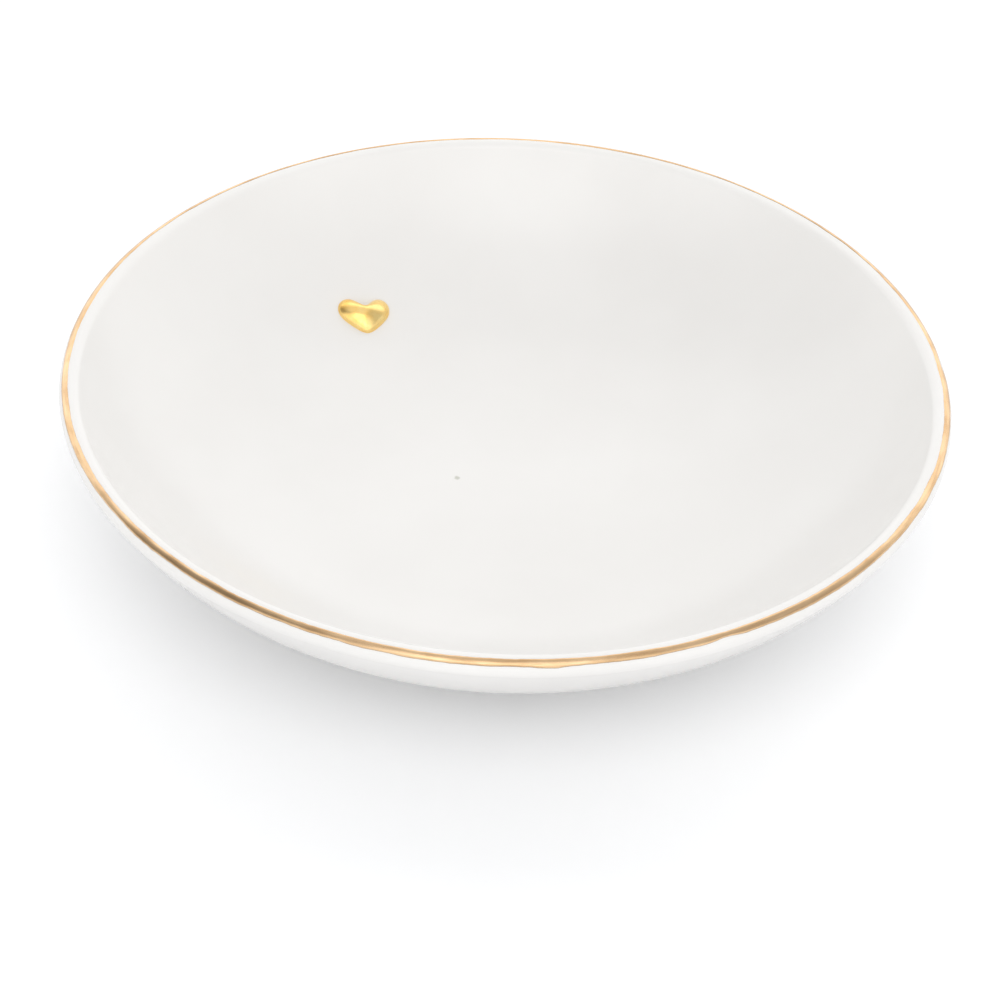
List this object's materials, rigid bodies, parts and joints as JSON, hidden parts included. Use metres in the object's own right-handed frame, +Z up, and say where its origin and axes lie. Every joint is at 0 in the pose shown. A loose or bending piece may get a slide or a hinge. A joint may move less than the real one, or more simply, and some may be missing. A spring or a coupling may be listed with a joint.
{
  "type": "ring dish",
  "caption": "Small round porcelain ring dish: a curved bowl on a low foot ring, with a gold-lined lip and a raised gold heart inside, for holding rings and small jewellery.",
  "frame": {"origin": "middle of the foot ring's underside, on the table", "axes": "+Z up out of the bowl; -Y towards the viewer, with the heart behind and to the left; +X to the viewer's right"},
  "size_m": [0.1, 0.1, 0.0201],
  "materials": {
    "bisque": "matt unglazed porcelain",
    "clear_glaze": "gloss",
    "bright_gold": "bright fired gold, brushed on by hand"
  },
  "bodies": {
    "root": {"dish_body": "bisque", "glaze_coat": "clear_glaze", "base_glaze": "clear_glaze", "lip_gilding": "bright_gold", "heart_sprig": "bisque", "heart_gilding": "bright_gold"}
  },
  "joints": []
}
